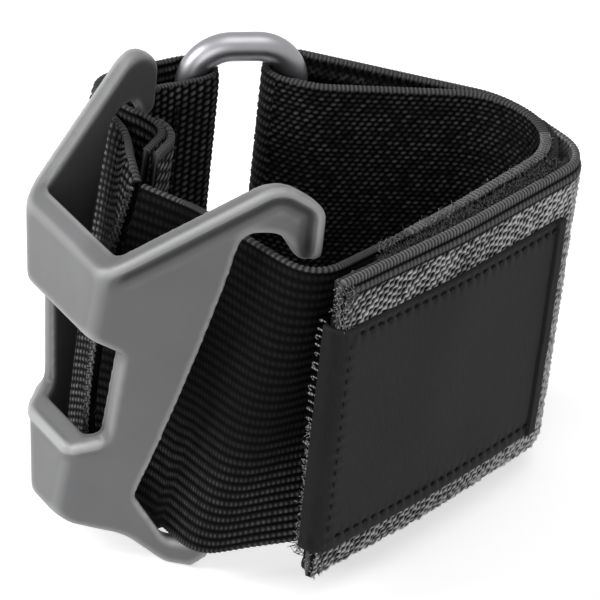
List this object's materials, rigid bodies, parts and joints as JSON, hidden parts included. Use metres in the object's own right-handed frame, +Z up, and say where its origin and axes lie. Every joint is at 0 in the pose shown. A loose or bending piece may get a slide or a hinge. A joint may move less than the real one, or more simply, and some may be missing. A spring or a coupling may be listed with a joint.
{
  "type": "tool tether wrist strap",
  "caption": "Elastic wrist strap cinched through a steel ring, closed by a hook-and-loop flap with a plain patch, with a moulded clip that a tool hooks into.",
  "frame": {"origin": "on the surface the strap stands on, under the middle of its box", "axes": "+Z up along the webbing's width, -Y out of the clip's front, +X towards the flap"},
  "size_m": [0.0664, 0.0804, 0.065],
  "materials": {
    "clip_plastic": "satin moulded grey",
    "ring_steel": "satin",
    "webbing_black": "woven elastic webbing",
    "loop_pile": "looped pile",
    "tape_grey": "ribbed tape",
    "flap_mesh": "open twill mesh",
    "label_leather": "fine grained, matt",
    "thread_black": "twisted thread",
    "seam_pale": "overlocked edge"
  },
  "bodies": {
    "strap": {"main_band": "webbing_black", "ring_loop_band": "webbing_black", "ring_loop_thread": "thread_black", "facing_tape": "tape_grey", "crest_seam": "seam_pale", "loop_tape": "loop_pile", "loop_thread_upper": "thread_black", "loop_thread_lower": "thread_black"},
    "clip": {"tool_clip": "clip_plastic"},
    "ring": {"adjuster_ring": "ring_steel"},
    "flap": {"flap_web": "flap_mesh", "hook_tape": "tape_grey", "label_patch": "label_leather", "label_thread": "thread_black"}
  },
  "joints": [
    {"name": "flap_peel", "type": "hinge", "parent": "strap", "child": "flap", "pos_m": [0.01435, 0.03849, 0.0285], "axis": [0, 0, 1], "range_deg": [0, 110]},
    {"name": "ring_swing", "type": "hinge", "parent": "strap", "child": "ring", "pos_m": [-0.02915, -0.00215, 0.03], "axis": [0, 0, 1], "range_deg": [-3.5, 3.5]},
    {"name": "clip_shift", "type": "slide", "parent": "strap", "child": "clip", "axis": [1, 0, 0], "range_m": [-0.0008, 0.0008]}
  ]
}
